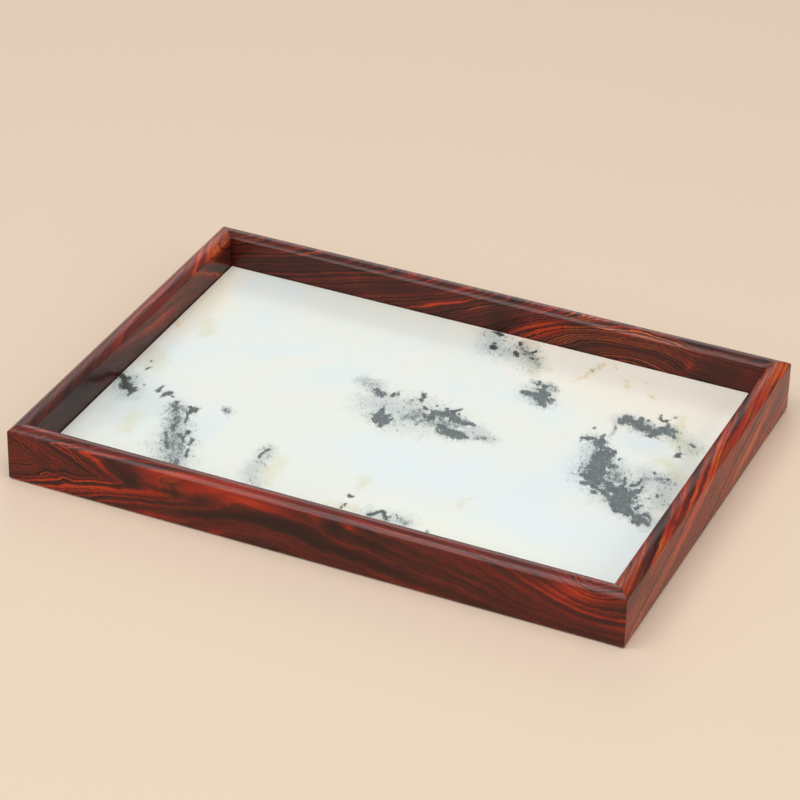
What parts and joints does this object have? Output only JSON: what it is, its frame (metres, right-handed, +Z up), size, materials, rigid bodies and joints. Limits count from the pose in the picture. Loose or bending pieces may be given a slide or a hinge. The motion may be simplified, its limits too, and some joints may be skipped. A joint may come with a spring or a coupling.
{
  "type": "tea tray",
  "caption": "Rectangular dry-brew tea tray: mitred hardwood rails with a crowned top edge round a level marble slab.",
  "frame": {"origin": "centre of the footprint, on the plane the pads stand on", "axes": "+X along the long rails to the right, +Y to the back rail, +Z up from the table"},
  "size_m": [0.35, 0.25, 0.032],
  "materials": {
    "rail_wood": "waxed and polished figured red rosewood",
    "spline_wood": "plain planed hardwood",
    "board_wood": "oiled red hardwood board",
    "batten_wood": "oiled red hardwood",
    "marble": "honed and polished pale marble with dark dendritic veins",
    "sealant": "dark tinted joint sealant",
    "adhesive": "neutral cure stone adhesive",
    "pad_rubber": "dark soft rubber"
  },
  "bodies": {
    "root": {"front_rail": "rail_wood", "back_rail": "rail_wood", "left_rail": "rail_wood", "right_rail": "rail_wood", "mitre_spline_front_left": "spline_wood", "mitre_spline_front_right": "spline_wood", "mitre_spline_back_left": "spline_wood", "mitre_spline_back_right": "spline_wood", "bottom_board": "board_wood", "left_batten": "batten_wood", "right_batten": "batten_wood", "marble_slab": "marble", "edge_sealant": "sealant", "adhesive_dabs": "adhesive", "pad_front_left": "pad_rubber", "pad_front_right": "pad_rubber", "pad_back_left": "pad_rubber", "pad_back_right": "pad_rubber"}
  },
  "joints": []
}
